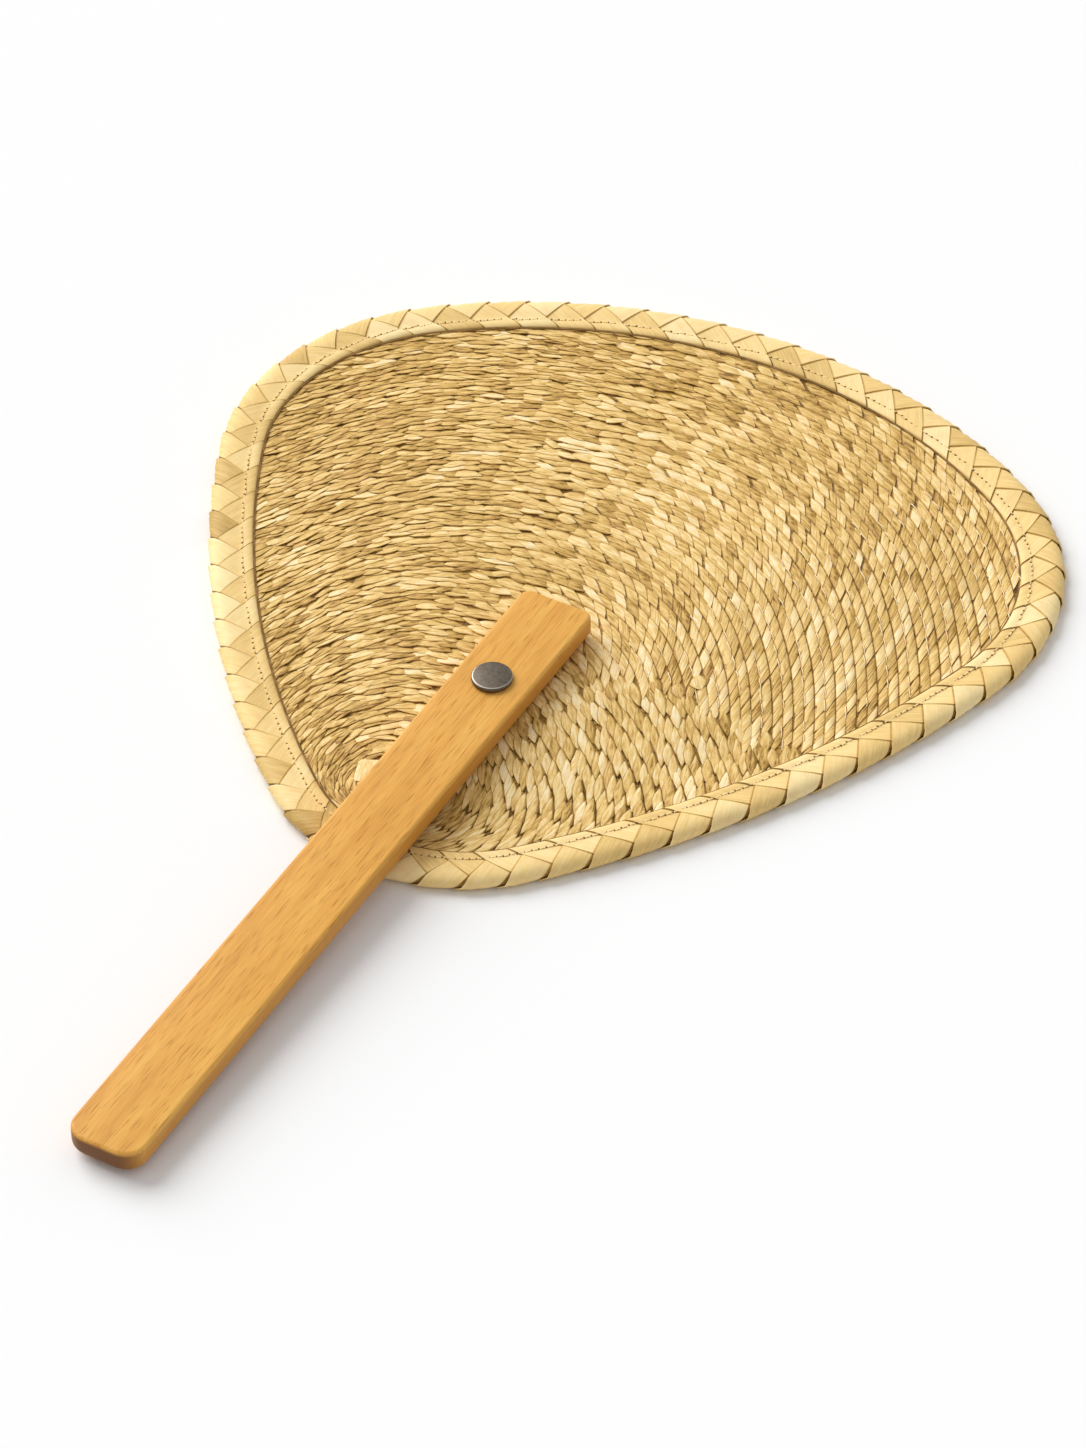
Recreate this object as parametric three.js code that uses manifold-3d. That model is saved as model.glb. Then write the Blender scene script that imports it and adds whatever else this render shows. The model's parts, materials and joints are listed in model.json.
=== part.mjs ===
// Palm leaf hand fan: a leaf of plaited palm sewn in a spiral, bound round its edge,
// and held by one rivet on a flat wooden handle. Millimetres, +Z up, the fan lying on its back.
import * as THREE from 'three';
import { mergeVertices } from 'three/addons/utils/BufferGeometryUtils.js';
import Module from 'manifold-3d';

const wasm = await Module();
wasm.setup();

const degree = Math.PI / 180;
const fullTurn = 2 * Math.PI;

// Clearances
const clearance = 0.3; // between pieces that touch on the real fan
const seamGap = 0.3; // between one row of plait and the next

// Outline of the leaf: six arcs, each tangent to the next
const leafHeight = 275; // from the lowest to the highest point of the edge
const topRadius = 175.5;
const cornerRadius = 78;
const cornerBearing = 36.2 * degree; // from the top arc's middle to where a corner arc begins
const sideRadius = 345;
const bottomRadius = 61;
const leafTurn = 4.1 * degree; // how far the leaf is turned on the rivet, anticlockwise

// Binding folded over the edge of the leaf
const bindingWidth = 14;
const bindingWall = 1; // one folded layer of palm strip
const bindingNose = 3.5; // solid depth of the fold at the very edge
const bindingRounding = 2; // depth over which the fold is rounded
const stripCount = 66; // strips round the edge
const stripStep = 0.3; // how far the edge of one strip stands over the next
const lapLength = 0.7; // length of the slope between two strips
const chevronDepth = 7.7; // from the edge to the points of the chevrons
const chevronLean = 6; // how far back along the edge a strip runs on its way there
const rollWidth = 3; // rolled inner margin of the binding

// Rows of plait
const plaitThickness = 2.6;
const plaitRows = 32; // rows from the core to the top of the leaf
const plaitShoulder = 0.27; // share of a row's width where its rounded side ends
const coreAside = -17; // core of the spiral, from the middle line of the leaf
const coreRise = 30; // core of the spiral, above the lowest point of the edge
const endRoom = 1; // between the cut ends of the rows and the fold
const levelMargin = 12; // strip of the leaf beside the binding that stays level
const crownReach = 95; // distance over which the leaf then rises
const crownPress = 1.2; // how far the rivet pulls the crown down flat
const coreFacets = 20; // facets in one turn of the core
const rowFacets = 36; // facets in a full circle of an outer row

// Handle: a flat lath
const barLength = 256;
const barWidth = 24;
const barThickness = 8;
const barEdge = 1.2; // rounding of its long edges
const lowerCorner = 5.5; // rounding of its corners at the hand's end
const upperCorner = 2;
const gripLength = 138; // from the hand's end to the leaf
const gripLift = 1.5; // the hand's end above the table

// Rivet
const rivetFromTop = 40; // from the upper end of the handle
const capDiameter = 12.5;
const capThickness = 1.5;
const capRounding = 0.4;
const postDiameter = 4;
const spigotDiameter = 2;
const spigotLength = 6;
const headDiameter = 11;
const headThickness = 1.2;
const washerDiameter = 22;
const washerThickness = 0.8;

// Facets of round forms
const roundSides = 32;
const arcFacets = 24; // along one arc of the outline
const cornerFacets = 4;
const edgeFacets = 2;

// Sizes that follow
const channelHeight = plaitThickness + 2 * clearance;
const bindingThickness = channelHeight + 2 * bindingWall;
const leafMiddle = bindingThickness / 2; // height of the plait's middle in the binding
const leafBottom = gripLength;
const trimDepth = bindingNose + endRoom; // rows are cut off this far inside the edge
const topCentre = new THREE.Vector2(0, leafBottom + leafHeight - topRadius);
const bottomCentre = new THREE.Vector2(0, leafBottom + bottomRadius);
const barSlope = Math.atan2(bindingThickness + clearance - gripLift, gripLength);
const rivetAlong = barLength - rivetFromTop;
const holeDiameter = postDiameter + 2 * clearance;
const rivetPlace = new THREE.Vector2(0, rivetAlong * Math.cos(barSlope));

const materials = {
  plait: { color: 0xd9b670, roughness: 0.75, metalness: 0 },
  binding: { color: 0xe6c98a, roughness: 0.7, metalness: 0 },
  wood: { color: 0xdfa254, roughness: 0.5, metalness: 0 },
  gunmetal: { color: 0x5d564e, roughness: 0.4, metalness: 0.85 },
};

function piece(name, geometry, finish) {
  const mesh = new THREE.Mesh(geometry, new THREE.MeshStandardMaterial(materials[finish]));
  mesh.name = name;
  return mesh;
}

function direction(bearing) {
  return new THREE.Vector2(Math.sin(bearing), Math.cos(bearing));
}

// Closed solids from rings of points

function sweptGeometry(rings, closed) {
  const positions = rings.flat().flatMap((point) => point.toArray());
  const sides = rings[0].length;
  const indices = [];
  const lastRing = closed ? rings.length : rings.length - 1;
  for (let ring = 0; ring < lastRing; ring += 1) {
    const here = ring * sides;
    const next = ((ring + 1) % rings.length) * sides;
    for (let side = 0; side < sides; side += 1) {
      const beside = (side + 1) % sides;
      indices.push(here + side, next + side, next + beside);
      indices.push(here + side, next + beside, here + beside);
    }
  }
  if (!closed) {
    const end = (rings.length - 1) * sides;
    for (let side = 1; side < sides - 1; side += 1) {
      indices.push(0, side, side + 1);
      indices.push(end, end + side + 1, end + side);
    }
  }
  const geometry = new THREE.BufferGeometry();
  geometry.setAttribute('position', new THREE.Float32BufferAttribute(positions, 3));
  geometry.setIndex(indices);
  return geometry;
}

function solidOf(geometry) {
  const bare = geometry.clone();
  bare.deleteAttribute('normal');
  bare.deleteAttribute('uv');
  const merged = mergeVertices(bare);
  const vertProperties = new Float32Array(merged.attributes.position.array);
  const triVerts = new Uint32Array(merged.index.array);
  return new wasm.Manifold(new wasm.Mesh({ numProp: 3, vertProperties, triVerts }));
}

function geometryOf(solid) {
  const mesh = solid.getMesh();
  const geometry = new THREE.BufferGeometry();
  geometry.setAttribute('position', new THREE.BufferAttribute(mesh.vertProperties, 3));
  geometry.setIndex(new THREE.BufferAttribute(mesh.triVerts, 1));
  return geometry;
}

// Outline of the leaf

function cornerCentre(side) {
  const reach = topRadius - cornerRadius;
  return direction(side * cornerBearing).multiplyScalar(reach).add(topCentre);
}

function sideCentre(side) {
  const corner = cornerCentre(side);
  const toBottom = bottomCentre.clone().sub(corner);
  const span = toBottom.length();
  const fromCorner = sideRadius - cornerRadius;
  const fromBottom = sideRadius - bottomRadius;
  const along = (fromCorner ** 2 - fromBottom ** 2 + span ** 2) / (2 * span);
  const across = Math.sqrt(fromCorner ** 2 - along ** 2);
  toBottom.normalize();
  const inward = new THREE.Vector2(toBottom.y, -toBottom.x).multiplyScalar(side * across);
  return corner.addScaledVector(toBottom, along).add(inward);
}

function bearingBetween(from, to) {
  return Math.atan2(to.x - from.x, to.y - from.y);
}

// Arcs follow each other clockwise from the middle of the top
function outlineArcs() {
  const right = sideCentre(1);
  const left = sideCentre(-1);
  const sideStart = bearingBetween(right, cornerCentre(1));
  const sideEnd = bearingBetween(right, bottomCentre);
  const arc = (centre, radius, from, to) => ({ centre, radius, from, to });
  return [
    arc(topCentre, topRadius, 0, cornerBearing),
    arc(cornerCentre(1), cornerRadius, cornerBearing, sideStart),
    arc(right, sideRadius, sideStart, sideEnd),
    arc(bottomCentre, bottomRadius, sideEnd, fullTurn - sideEnd),
    arc(left, sideRadius, fullTurn - sideEnd, fullTurn - sideStart),
    arc(cornerCentre(-1), cornerRadius, fullTurn - sideStart, fullTurn - cornerBearing),
    arc(topCentre, topRadius, fullTurn - cornerBearing, fullTurn),
  ];
}

const edgeArcs = outlineArcs();
const edgeLength = edgeArcs.reduce((sum, arc) => sum + arc.radius * (arc.to - arc.from), 0);

// Point at a length along the edge, moved inwards by a depth
function edgePoint(length, depth) {
  let rest = ((length % edgeLength) + edgeLength) % edgeLength;
  let arc = edgeArcs[0];
  for (arc of edgeArcs) {
    const arcLength = arc.radius * (arc.to - arc.from);
    if (rest <= arcLength) {
      break;
    }
    rest -= arcLength;
  }
  const bearing = arc.from + rest / arc.radius;
  return direction(bearing).multiplyScalar(arc.radius - depth).add(arc.centre);
}

// Distance of a point from the edge, positive inside
function depthAt(point) {
  const depths = edgeArcs.map((arc) => {
    const bearing = (bearingBetween(arc.centre, point) + fullTurn) % fullTurn;
    const facing = bearing >= arc.from && bearing <= arc.to;
    return facing ? arc.radius - point.distanceTo(arc.centre) : Infinity;
  });
  return Math.min(...depths);
}

// The leaf is level in its binding and rises towards its middle
function crownShare(point) {
  const inside = depthAt(point) - bindingWidth - levelMargin;
  const reach = THREE.MathUtils.clamp(inside / crownReach, 0, 1);
  return 1 - (1 - reach) ** 2;
}

// Where a point of the leaf is once the leaf is turned on the rivet
function onTable(point) {
  return point.clone().rotateAround(rivetPlace, leafTurn);
}

// Middle of the plait where it lies flat under the handle
function seatHeight(point) {
  return gripLift + onTable(point).y * Math.tan(barSlope) - clearance - plaitThickness / 2;
}

const crownHeight = (seatHeight(rivetPlace) + crownPress - leafMiddle) / crownShare(rivetPlace);

function leafHeightAt(point) {
  return Math.min(leafMiddle + crownHeight * crownShare(point), seatHeight(point));
}

// Rows of plait: circles whose centre drifts from the core to the centre of the top arc

const fieldRadius = topRadius - trimDepth;
const rowWidth = fieldRadius / plaitRows;
const core = new THREE.Vector2(coreAside, leafBottom + coreRise);
const drift = topCentre.clone().sub(core).divideScalar(fieldRadius);

function fieldPoint(radius, bearing) {
  return direction(bearing).add(drift).multiplyScalar(radius).add(core);
}

// Radius and bearing, about the drifting centre, of a point of the leaf
function fieldRadiusOf(point) {
  const offset = point.clone().sub(core);
  const a = 1 - drift.lengthSq();
  const b = offset.dot(drift);
  return (Math.sqrt(b * b + a * offset.lengthSq()) - b) / a;
}

function fieldBearingOf(point) {
  const centre = drift.clone().multiplyScalar(fieldRadiusOf(point)).add(core);
  return bearingBetween(centre, point);
}

// The spiral starts where a seam between two turns will run through the rivet
const rivetTurns = fieldRadiusOf(rivetPlace) / rowWidth;
const spiralStart = fieldBearingOf(rivetPlace) - (rivetTurns % 1) * fullTurn;

function seamRadius(bearing) {
  return (rowWidth * (bearing - spiralStart)) / fullTurn;
}

// Six points round a row: its two seams and its rounded faces
function rowRing(bearing) {
  const halfGap = seamGap / 2 / (1 + drift.dot(direction(bearing)));
  const inner = seamRadius(bearing) + halfGap;
  const width = rowWidth - 2 * halfGap;
  const corner = (share, above) => {
    const point = fieldPoint(inner + share * width, bearing);
    return new THREE.Vector3(point.x, point.y, leafHeightAt(point) + (above * plaitThickness) / 2);
  };
  return [
    corner(0, 0),
    corner(plaitShoulder, 1),
    corner(1 - plaitShoulder, 1),
    corner(1, 0),
    corner(1 - plaitShoulder, -1),
    corner(plaitShoulder, -1),
  ];
}

// Greatest depth that a row reaches inside the edge at a bearing
function rowDepth(bearing) {
  const inner = seamRadius(bearing);
  return Math.max(depthAt(fieldPoint(inner, bearing)), depthAt(fieldPoint(inner + rowWidth, bearing)));
}

// First and last bearing of each length of plait: the spiral leaves the leaf and comes back
function plaitLengths() {
  const step = fullTurn / rowFacets;
  const lengths = [];
  let current = null;
  for (let bearing = spiralStart; seamRadius(bearing) < fieldRadius; bearing += step) {
    const depth = rowDepth(bearing);
    if (depth > trimDepth) {
      current = current ?? { first: bearing - step, deepest: 0 };
      current.last = bearing + step;
      current.deepest = Math.max(current.deepest, depth);
    } else if (current) {
      lengths.push(current);
      current = null;
    }
  }
  if (current) {
    lengths.push(current);
  }
  return lengths.filter((length) => length.deepest > bindingWidth);
}

// Bearings of a length of plait, on facets that its neighbours share
function plaitBearings(first, last, facets) {
  const step = fullTurn / facets;
  const bearings = [first];
  for (let count = Math.floor(first / step) + 1; count * step < last; count += 1) {
    bearings.push(count * step);
  }
  return bearings;
}

function plaitGeometry(length, index, cuts) {
  const isCore = index === 0;
  const first = isCore ? spiralStart : length.first;
  const bearings = plaitBearings(first, length.last, isCore ? coreFacets : rowFacets);
  const plait = solidOf(sweptGeometry(bearings.map(rowRing), false));
  return geometryOf(plait.intersect(cuts.trim).subtract(cuts.rivetHole));
}

function outlineShape(inset) {
  const shape = new THREE.Shape();
  for (const arc of edgeArcs) {
    const start = Math.PI / 2 - arc.from;
    const end = Math.PI / 2 - arc.to;
    shape.absarc(arc.centre.x, arc.centre.y, arc.radius - inset, start, end, true);
  }
  return shape;
}

function trimSolid() {
  const depth = 4 * (bindingThickness + crownHeight);
  const geometry = new THREE.ExtrudeGeometry(outlineShape(trimDepth), {
    depth,
    bevelEnabled: false,
    curveSegments: arcFacets,
  });
  geometry.translate(0, 0, -depth / 2);
  return solidOf(geometry);
}

// Binding: a channel round the leaf whose upper side is laid in chevrons

const stripLength = edgeLength / stripCount;
const channelTop = leafMiddle + channelHeight / 2;
const channelBottom = leafMiddle - channelHeight / 2;

// Depth from the edge, height and lean back along the edge of each corner of the section,
// from the inner margin of its underside round the fold to the channel.
// sink is 0 where a strip's edge stands up, and stripStep where it goes under its neighbour.
function bindingSection(sink) {
  const rollDepth = bindingWidth - rollWidth;
  const innerSink = 2 * stripStep - sink;
  const nose = [-2, -1, 0, 1].map((quarter) => {
    const turn = (quarter * Math.PI) / 4;
    const depth = bindingRounding * (1 - Math.cos(turn));
    return { depth, height: leafMiddle * (1 + Math.sin(turn)), lean: 0 };
  });
  return [
    { depth: bindingWidth, height: 0, lean: 0 },
    ...nose,
    {
      depth: bindingRounding,
      height: bindingThickness - sink,
      lean: (chevronLean * bindingRounding) / chevronDepth,
    },
    { depth: chevronDepth, height: bindingThickness - sink, lean: chevronLean },
    { depth: rollDepth, height: bindingThickness - innerSink, lean: chevronLean / 2 },
    { depth: bindingWidth - rollWidth / 2, height: bindingThickness, lean: chevronLean / 4 },
    { depth: bindingWidth, height: channelTop + bindingWall / 2, lean: 0 },
    { depth: bindingWidth, height: channelTop, lean: 0 },
    { depth: bindingNose, height: channelTop, lean: 0 },
    { depth: bindingNose, height: channelBottom, lean: 0 },
    { depth: bindingWidth, height: channelBottom, lean: 0 },
  ];
}

function bindingRing(along, sink) {
  return bindingSection(sink).reverse().map(({ depth, height, lean }) => {
    const point = edgePoint(along - lean, depth);
    return new THREE.Vector3(point.x, point.y, height);
  });
}

function bindingGeometry() {
  const rings = [];
  for (let strip = 0; strip < stripCount; strip += 1) {
    const start = strip * stripLength;
    rings.push(bindingRing(start, stripStep));
    rings.push(bindingRing(start + stripLength - lapLength, 0));
  }
  return sweptGeometry(rings, true);
}

// Handle and rivet, in the handle's own frame: its underside is at z = 0, its hand's end at y = 0

function roundPiece(profile) {
  const points = profile.map(([radius, height]) => new THREE.Vector2(radius, height));
  const geometry = new THREE.LatheGeometry(points, roundSides);
  geometry.rotateX(Math.PI / 2);
  geometry.translate(0, rivetAlong, 0);
  return geometry;
}

function rivetHoleGeometry() {
  const reach = 2 * (barThickness + plaitThickness);
  const radius = holeDiameter / 2;
  return roundPiece([[0, -reach], [radius, -reach], [radius, reach], [0, reach]]);
}

function barGeometry() {
  const half = barWidth / 2 - barEdge;
  const low = barEdge;
  const high = barLength - barEdge;
  const lowCorner = lowerCorner - barEdge;
  const highCorner = upperCorner - barEdge;
  const shape = new THREE.Shape();
  shape.absarc(half - lowCorner, low + lowCorner, lowCorner, -Math.PI / 2, 0, false);
  shape.absarc(half - highCorner, high - highCorner, highCorner, 0, Math.PI / 2, false);
  shape.absarc(highCorner - half, high - highCorner, highCorner, Math.PI / 2, Math.PI, false);
  shape.absarc(lowCorner - half, low + lowCorner, lowCorner, Math.PI, 1.5 * Math.PI, false);
  const geometry = new THREE.ExtrudeGeometry(shape, {
    depth: barThickness - 2 * barEdge,
    bevelThickness: barEdge,
    bevelSize: barEdge,
    bevelSegments: edgeFacets,
    curveSegments: cornerFacets,
  });
  geometry.translate(0, 0, barEdge);
  return geometryOf(solidOf(geometry).subtract(solidOf(rivetHoleGeometry())));
}

const leafUnderside = -clearance - plaitThickness;
const washerTop = leafUnderside - clearance;
const headTop = washerTop - washerThickness - clearance;
const capUnderside = barThickness + clearance;

function capGeometry() {
  const radius = capDiameter / 2;
  const top = capUnderside + capThickness;
  const spigotRadius = spigotDiameter / 2;
  const tip = capUnderside - spigotLength;
  return roundPiece([
    [0, tip],
    [spigotRadius, tip],
    [spigotRadius, capUnderside],
    [radius, capUnderside],
    [radius, top - capRounding],
    [radius - capRounding, top],
    [0, top],
  ]);
}

function postGeometry() {
  const headRadius = headDiameter / 2;
  const headBottom = headTop - headThickness;
  const postRadius = postDiameter / 2;
  const boreRadius = spigotDiameter / 2 + clearance;
  const boreBottom = barThickness - spigotLength;
  return roundPiece([
    [0, headBottom],
    [headRadius - capRounding, headBottom],
    [headRadius, headBottom + capRounding],
    [headRadius, headTop],
    [postRadius, headTop],
    [postRadius, barThickness],
    [boreRadius, barThickness],
    [boreRadius, boreBottom],
    [0, boreBottom],
  ]);
}

function washerGeometry() {
  const inner = holeDiameter / 2;
  const outer = washerDiameter / 2;
  const bottom = washerTop - washerThickness;
  return roundPiece([
    [inner, bottom],
    [outer, bottom],
    [outer, washerTop],
    [inner, washerTop],
    [inner, bottom],
  ]);
}

// Assembly

const handle = new THREE.Group();
handle.position.z = gripLift;
handle.rotation.x = barSlope;
handle.updateMatrix();
handle.add(piece('handle_bar', barGeometry(), 'wood'));
handle.add(piece('rivet_front_cap', capGeometry(), 'gunmetal'));
handle.add(piece('rivet_post', postGeometry(), 'gunmetal'));
handle.add(piece('rivet_washer', washerGeometry(), 'gunmetal'));

const leaf = new THREE.Group();
const leafOrigin = onTable(new THREE.Vector2());
leaf.position.set(leafOrigin.x, leafOrigin.y, 0);
leaf.rotation.z = leafTurn;
leaf.updateMatrix();
const toLeaf = leaf.matrix.clone().invert().multiply(handle.matrix);
const cuts = {
  trim: trimSolid(),
  rivetHole: solidOf(rivetHoleGeometry().applyMatrix4(toLeaf)),
};
plaitLengths().forEach((length, index) => {
  const name = index === 0 ? 'plait_core' : `plait_row_${String(index).padStart(2, '0')}`;
  leaf.add(piece(name, plaitGeometry(length, index, cuts), 'plait'));
});
leaf.add(piece('border_binding', bindingGeometry(), 'binding'));

// The origin is on the table, under the middle of the fan
const fan = new THREE.Group();
fan.add(handle, leaf);
const extent = new THREE.Box3().setFromObject(fan, true);
const middle = extent.getCenter(new THREE.Vector3());
fan.position.set(-middle.x, -middle.y, 0);

export default fan;
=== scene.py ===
import json
import math

import bpy
import numpy as np
from mathutils import Matrix, Vector


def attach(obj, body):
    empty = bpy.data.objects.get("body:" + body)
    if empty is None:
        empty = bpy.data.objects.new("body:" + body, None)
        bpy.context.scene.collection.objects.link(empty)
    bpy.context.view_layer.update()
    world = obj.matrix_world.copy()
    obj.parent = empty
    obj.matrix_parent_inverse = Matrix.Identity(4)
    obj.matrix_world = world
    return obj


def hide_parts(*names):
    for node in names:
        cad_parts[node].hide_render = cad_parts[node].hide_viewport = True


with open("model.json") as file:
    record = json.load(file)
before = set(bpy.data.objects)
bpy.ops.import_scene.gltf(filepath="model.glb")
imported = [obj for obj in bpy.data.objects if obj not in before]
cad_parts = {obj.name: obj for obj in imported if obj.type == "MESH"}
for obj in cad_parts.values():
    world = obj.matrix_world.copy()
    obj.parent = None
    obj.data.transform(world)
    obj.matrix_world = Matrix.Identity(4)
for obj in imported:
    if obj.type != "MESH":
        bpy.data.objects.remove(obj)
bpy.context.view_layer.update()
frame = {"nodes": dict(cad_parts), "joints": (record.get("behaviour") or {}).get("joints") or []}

# Rows of plait. The leaf is a braid of split palm leaf, sewn row beside row in a spiral that starts
# beside the handle. Rows that run off the leaf are cut there, and the binding holds their ends.
# Each row shows two or three files of laps, where a strand comes up, crosses the braid and goes under.

mm = 0.001
degree = math.pi / 180
full_turn = 2 * math.pi

leaf_height = 275 * mm  # from the lowest to the highest point of its edge
top_radius = 175.5 * mm
corner_radius = 78 * mm
corner_bearing = 36.2 * degree  # from the middle of the top to where a corner begins
side_radius = 345 * mm
bottom_radius = 61 * mm
leaf_turn = 4.1 * degree  # the leaf is turned this far on its rivet
binding_width = 14 * mm
binding_thickness = 5.2 * mm

bar_length = 256 * mm
rivet_from_top = 40 * mm
grip_length = 138 * mm  # from the hand's end of the handle to the leaf
grip_lift = 1.5 * mm  # the hand's end above the table
clearance = 0.3 * mm  # between pieces that touch on the real fan
bar_slope = math.atan2(binding_thickness + clearance - grip_lift, grip_length)
rivet_along = bar_length - rivet_from_top
rivet_place = np.array(frame["joints"][0]["pos_m"][:2])

plait_rows = 32  # from the core to the top of the leaf
plait_thickness = 2.6 * mm
trim_depth = 4.5 * mm  # rows are cut off this far inside the edge
row_field = top_radius - trim_depth
row_width = row_field / plait_rows
level_margin = 12 * mm  # the leaf stays level this far beside the binding
crown_reach = 95 * mm  # and then rises over this distance
crown_press = 1.2 * mm  # the rivet pulls it down flat by this much
core_aside = -17 * mm  # core of the spiral, from the leaf's middle line
core_rise = 30 * mm  # and above the lowest point of the edge
most_drawn_in = 0.085  # share of their radius that the rows at the right lose to the sewing
hidden_depth = 8 * mm  # laps further out than this lie under the binding
smallest_turn = 2.2 * mm  # radius of the core's first laps
lap_thickness = 0.35 * mm
ground_thickness = 1 * mm
end_thickness = 0.6 * mm  # of the flat strip and the pads at the spiral's middle
first_turn_width = 6.4 * mm
first_strip_size = np.array([10, 9]) * mm
first_strip_turn = 19 * degree
first_strip_place = np.array([-9.4, -32]) * mm  # its middle on the table

# In the leaf's own plane the rivet is the origin and the leaf's middle line is the y axis.
leaf_bottom = grip_length - rivet_along * math.cos(bar_slope)
rivet_point = np.zeros(2)


def direction(bearing):
    return np.stack([np.sin(bearing), np.cos(bearing)], axis=-1)


def bearing_of(offset):
    return np.arctan2(offset[..., 0], offset[..., 1])


def outline_arcs():
    """Centre, radius, first and last bearing of each arc of the edge, clockwise from the top."""
    top = np.array([0, leaf_bottom + leaf_height - top_radius])
    bottom = np.array([0, leaf_bottom + bottom_radius])
    corner = top + (top_radius - corner_radius) * direction(corner_bearing)
    span = bottom - corner
    length = np.linalg.norm(span)
    ahead = span / length
    from_corner = side_radius - corner_radius
    from_bottom = side_radius - bottom_radius
    along = (from_corner**2 - from_bottom**2 + length**2) / (2 * length)
    across = math.sqrt(from_corner**2 - along**2)
    side = corner + along * ahead + across * np.array([ahead[1], -ahead[0]])
    side_start = float(bearing_of(corner - side))
    side_end = float(bearing_of(bottom - side))
    right = [
        (top, top_radius, 0, corner_bearing),
        (corner, corner_radius, corner_bearing, side_start),
        (side, side_radius, side_start, side_end),
    ]
    foot = (bottom, bottom_radius, side_end, full_turn - side_end)
    mirror = np.array([-1, 1])
    left = [
        (centre * mirror, radius, full_turn - last, full_turn - first)
        for centre, radius, first, last in reversed(right)
    ]
    return [*right, foot, *left]


edge_arcs = outline_arcs()


def depth_at(points):
    """Distance of points of the leaf from its edge, positive inside."""
    depths = np.full(points.shape[:-1], np.inf)
    for centre, radius, first, last in edge_arcs:
        offset = points - centre
        bearing = np.mod(bearing_of(offset), full_turn)
        facing_arc = (bearing >= first) & (bearing <= last)
        depth = radius - np.linalg.norm(offset, axis=-1)
        depths = np.where(facing_arc, np.minimum(depths, depth), depths)
    return depths


def turned(points, angle):
    """Points of a plane, turned anticlockwise about its origin."""
    x, y = points[..., 0], points[..., 1]
    cosine, sine = math.cos(angle), math.sin(angle)
    return np.stack([cosine * x - sine * y, sine * x + cosine * y], axis=-1)


def on_table(points):
    """Points of the leaf's plane, turned on the rivet, in the part's frame."""
    return turned(points, leaf_turn) + rivet_place


def raised(points, height):
    """Points of the leaf's plane at their heights, in the part's frame."""
    return np.concatenate([on_table(points), height[..., None]], axis=-1)


def crown_share(points):
    reach = np.clip((depth_at(points) - binding_width - level_margin) / crown_reach, 0, 1)
    return 1 - (1 - reach) ** 2


def seat_height(points):
    """Middle of the plait where it lies flat under the handle."""
    from_hand = on_table(points)[..., 1] - rivet_place[1] + rivet_along * math.cos(bar_slope)
    return grip_lift + from_hand * math.tan(bar_slope) - clearance - plait_thickness / 2


leaf_middle = binding_thickness / 2
crown_height = (seat_height(rivet_point) + crown_press - leaf_middle) / crown_share(rivet_point)


def plait_height(points):
    return np.minimum(leaf_middle + crown_height * crown_share(points), seat_height(points))


core = np.array([core_aside, leaf_bottom + core_rise])
drift = (edge_arcs[0][0] - core) / row_field  # the rows' centre moves to that of the top edge


def from_top(bearing):
    """A bearing in degrees from the top, clockwise positive."""
    return np.mod(np.degrees(bearing) + 180, 360) - 180


def gently(share):
    share = np.clip(share, 0, 1)
    return share * share * (3 - 2 * share)


def drawn_in(bearing):
    """Share of a round row's radius: the sewing draws the rows in at the right, so they run straighter."""
    place = from_top(bearing)
    return 1 - most_drawn_in * gently((place - 12) / 56) * gently((128 - place) / 60)


def row_spread(bearing):
    """Width of a row for its share of the radius."""
    return drawn_in(bearing) + direction(bearing) @ drift


def field_point(radius, bearing):
    return core + radius[..., None] * (drift + drawn_in(bearing)[..., None] * direction(bearing))


def spiral_beginning():
    """Bearing where the spiral starts, for a seam between two rows to run through the rivet."""
    offset = rivet_point - core
    room = 1 - drift @ drift
    onward = offset @ drift
    radius = (math.sqrt(onward * onward + room * (offset @ offset)) - onward) / room
    return float(bearing_of(offset - radius * drift)) - radius / row_width % 1 * full_turn


spiral_start = spiral_beginning()


def seam_radius(bearing):
    return row_width * (bearing - spiral_start) / full_turn


def plait_lengths():
    """First and last bearing of each length of braid, where the spiral comes on and leaves the leaf."""
    step = full_turn / 36
    bearings = np.arange(spiral_start, spiral_start + full_turn * plait_rows, step)
    inner = seam_radius(bearings)[:, None]
    round_way = drift + direction(bearings)
    depth = np.maximum(depth_at(core + inner * round_way), depth_at(core + (inner + row_width) * round_way))
    on_leaf = np.concatenate([[False], depth > trim_depth, [False]])
    starts = np.flatnonzero(on_leaf[1:] & ~on_leaf[:-1])
    ends = np.flatnonzero(~on_leaf[1:] & on_leaf[:-1])
    at_right = np.abs(from_top(bearings) - 90) < 45
    further = np.where(at_right, 25 * degree, 0)  # drawn in, they go on longer
    return [
        (bearings[start] - step, bearings[end - 1] + step + further[end - 1])
        for start, end in zip(starts, ends)
        if depth[start:end].max() > binding_width
    ]


def around(bearing, left, top, right, lower, places=(-180, -145, -60, 10, 50, 85, 180)):
    """A quality of the braid that changes gently round the leaf, from place to place in degrees."""
    return np.interp(from_top(bearing), places, [lower, left, left, top, right, lower, lower])


def along_ropes(bearing, left, top, right, lower):
    """The same for the rope braid, whose lower rows begin further up."""
    return around(bearing, left, top, right, lower, (-180, -145, -60, 5, 22, 55, 180))


def flat_share(bearing, radius):
    """How flat the braid lies: most in the outer rows at the top and right."""
    place = from_top(bearing)
    inner = np.interp(place, [20, 60, 90], [42, 85, 125]) * mm
    way_round = np.interp(place, [-22, 22, 95, 105], [0, 1, 1, 0])
    return way_round * np.clip((radius - inner) / (30 * mm) + 0.5, 0, 1)


def lies_flat(bearing, radius, chance):
    """True where the laps are flat pads. Elsewhere the braid is twisted and its laps are like rope."""
    return flat_share(bearing, radius) + 0.16 * chance > 0.5


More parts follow.
